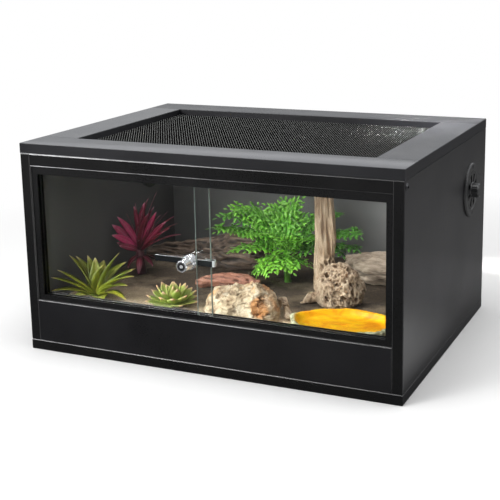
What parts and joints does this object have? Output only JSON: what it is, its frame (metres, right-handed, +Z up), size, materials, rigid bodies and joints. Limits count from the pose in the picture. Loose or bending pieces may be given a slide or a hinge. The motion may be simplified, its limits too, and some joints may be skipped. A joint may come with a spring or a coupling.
{
  "type": "reptile terrarium",
  "caption": "Front-opening reptile terrarium: black laminated boards, mesh top, sliding glass doors with a ratchet lock, rotary side vents and a planted bed.",
  "frame": {"origin": "middle of the underside of the base panel", "axes": "+X right, +Y back, +Z up, doors face -Y"},
  "size_m": [0.63, 0.468, 0.325],
  "materials": {
    "board_black": "black satin melamine laminate",
    "rail_black": "black semi-gloss laminate",
    "plastic_black": "moulded black plastic, fine texture",
    "mesh_black": "black coated steel wire",
    "door_glass": "clear float glass with ground green edges",
    "lock_chrome": "polished chrome",
    "blade_steel": "dark polished steel",
    "fixing_steel": "zinc plated",
    "fixing_black": "black oxide",
    "rubber_black": "matt",
    "beech": "raw beech",
    "sand": "fine tan sand",
    "dish_glaze": "amber glaze inside a pale stone rim",
    "rock": "pitted cream and ochre rock",
    "driftwood": "weathered driftwood",
    "grey_wood": "weathered grey log",
    "bark": "dark layered bark",
    "red_wood": "red-brown bark",
    "leaf_lime": "artificial leaf, yellow green",
    "leaf_wine": "artificial leaf, wine red",
    "leaf_sage": "artificial leaf, pale green with red tips",
    "leaf_fern": "artificial leaf, bright green"
  },
  "bodies": {
    "cabinet": {"base_panel": "board_black", "left_side_panel": "board_black", "right_side_panel": "board_black", "back_panel": "board_black", "front_fascia": "board_black", "upper_rail": "rail_black", "top_front_rail": "board_black", "top_rear_rail": "board_black", "top_left_rail": "board_black", "top_right_rail": "board_black", "mesh_frame": "plastic_black", "mesh_screen": "mesh_black", "lower_track": "plastic_black", "upper_track": "plastic_black", "left_jamb_trim": "plastic_black", "right_jamb_trim": "plastic_black", "base_screws": "fixing_steel", "rail_screws": "fixing_black", "frame_dowels": "beech", "fascia_dowels": "beech", "cam_bolts": "fixing_steel", "cam_discs": "fixing_steel", "left_vent_flange": "plastic_black", "right_vent_flange": "plastic_black", "left_vent_ring": "plastic_black", "right_vent_ring": "plastic_black", "vent_pins": "plastic_black", "vent_screws": "fixing_black", "sand_bed": "sand", "food_dish": "dish_glaze", "pitted_rock": "rock", "driftwood_trunk": "driftwood", "rear_log": "grey_wood", "bark_log": "bark", "red_branch": "red_wood", "arched_stick": "driftwood", "spiky_plant": "leaf_lime", "bromeliad": "leaf_wine", "succulent": "leaf_sage", "fern": "leaf_fern"},
    "left_door": {"left_glass_door": "door_glass", "lock_blade": "blade_steel", "hook_liner": "rubber_black"},
    "right_door": {"right_glass_door": "door_glass"},
    "lock": {"lock_barrel": "lock_chrome", "lock_bezel": "plastic_black"},
    "lock_core": {"lock_plug": "lock_chrome"},
    "pawl": {"lock_pawl": "fixing_steel"},
    "left_vent": {"left_vent_shutter": "plastic_black"},
    "right_vent": {"right_vent_shutter": "plastic_black"}
  },
  "joints": [
    {"name": "left_door_slide", "type": "slide", "parent": "cabinet", "child": "left_door", "axis": [1, 0, 0], "range_m": [0, 0.256]},
    {"name": "right_door_slide", "type": "slide", "parent": "cabinet", "child": "right_door", "axis": [1, 0, 0], "range_m": [-0.24, 0]},
    {"name": "lock_slide", "type": "slide", "parent": "right_door", "child": "lock", "axis": [-1, 0, 0], "range_m": [0, 0.072]},
    {"name": "key_turn", "type": "hinge", "parent": "lock", "child": "lock_core", "pos_m": [-0.0213, -0.2153, 0.166], "axis": [0, -1, 0], "range_deg": [0, 90]},
    {"name": "pawl_drop", "type": "slide", "parent": "lock", "child": "pawl", "axis": [0, 0, -1], "range_m": [0, 0.0013]},
    {"name": "left_vent_turn", "type": "hinge", "parent": "cabinet", "child": "left_vent", "pos_m": [-0.3, 0.127, 0.225], "axis": [-1, 0, 0], "range_deg": [0, 22.5]},
    {"name": "right_vent_turn", "type": "hinge", "parent": "cabinet", "child": "right_vent", "pos_m": [0.3, 0.127, 0.225], "axis": [1, 0, 0], "range_deg": [0, 22.5]}
  ],
  "couplings": [
    {"joint": "pawl_drop", "follows": "key_turn", "m_per_rad": 0.00082761}
  ]
}
